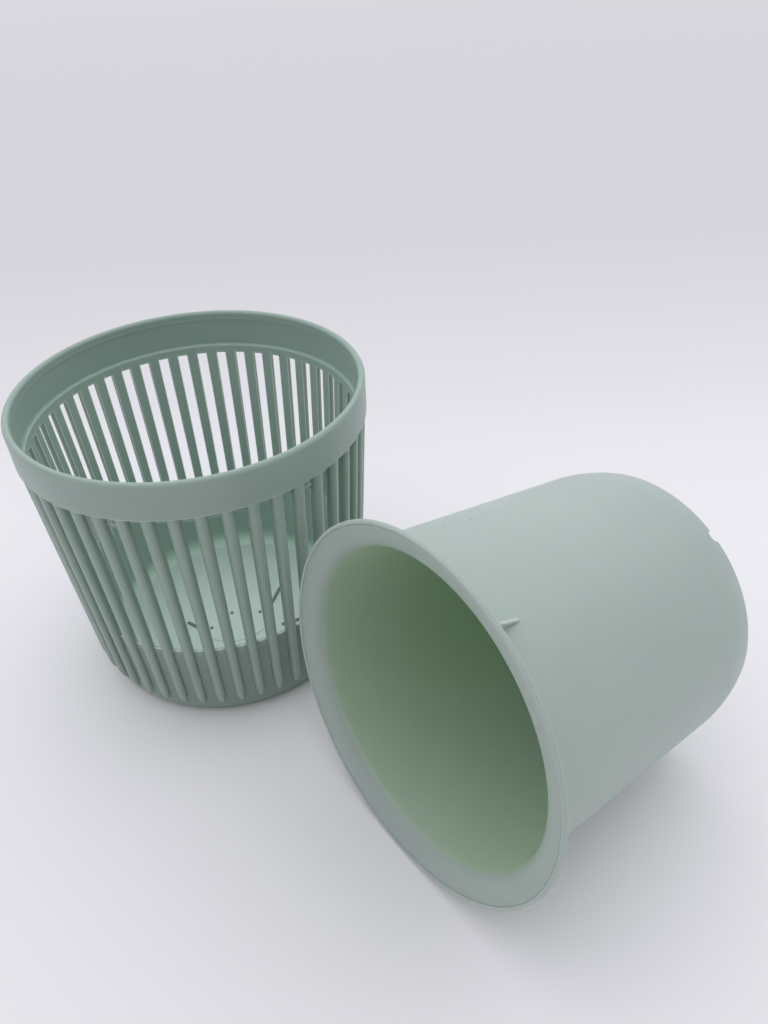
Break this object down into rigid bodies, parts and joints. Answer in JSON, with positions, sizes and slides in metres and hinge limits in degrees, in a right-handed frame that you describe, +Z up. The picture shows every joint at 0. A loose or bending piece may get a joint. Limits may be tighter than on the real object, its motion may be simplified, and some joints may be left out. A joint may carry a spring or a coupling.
{
  "type": "self-watering hanging planter",
  "caption": "Round self-watering hanging planter: a slatted outer pot with a closed bowl for water, and a flared inner soil pot that seats in its rim band, lying beside it.",
  "frame": {"origin": "centre of the outer pot's flat foot, at the ground", "axes": "+Z up the outer pot's axis; the inner pot lies at -Y with its mouth towards -X and its base towards +X"},
  "size_m": [0.2105, 0.3185, 0.1506],
  "materials": {
    "sage_outer": "satin, grey-green",
    "sage_inner": "satin, grey-green, thin enough to glow"
  },
  "bodies": {
    "outer": {"outer_pot": "sage_outer"},
    "inner": {"inner_pot": "sage_inner"}
  },
  "joints": [
    {"name": "inner_pot_lift", "type": "slide", "parent": "outer", "child": "inner", "axis": [0, 0, 1], "range_m": [0, 0.2]}
  ]
}
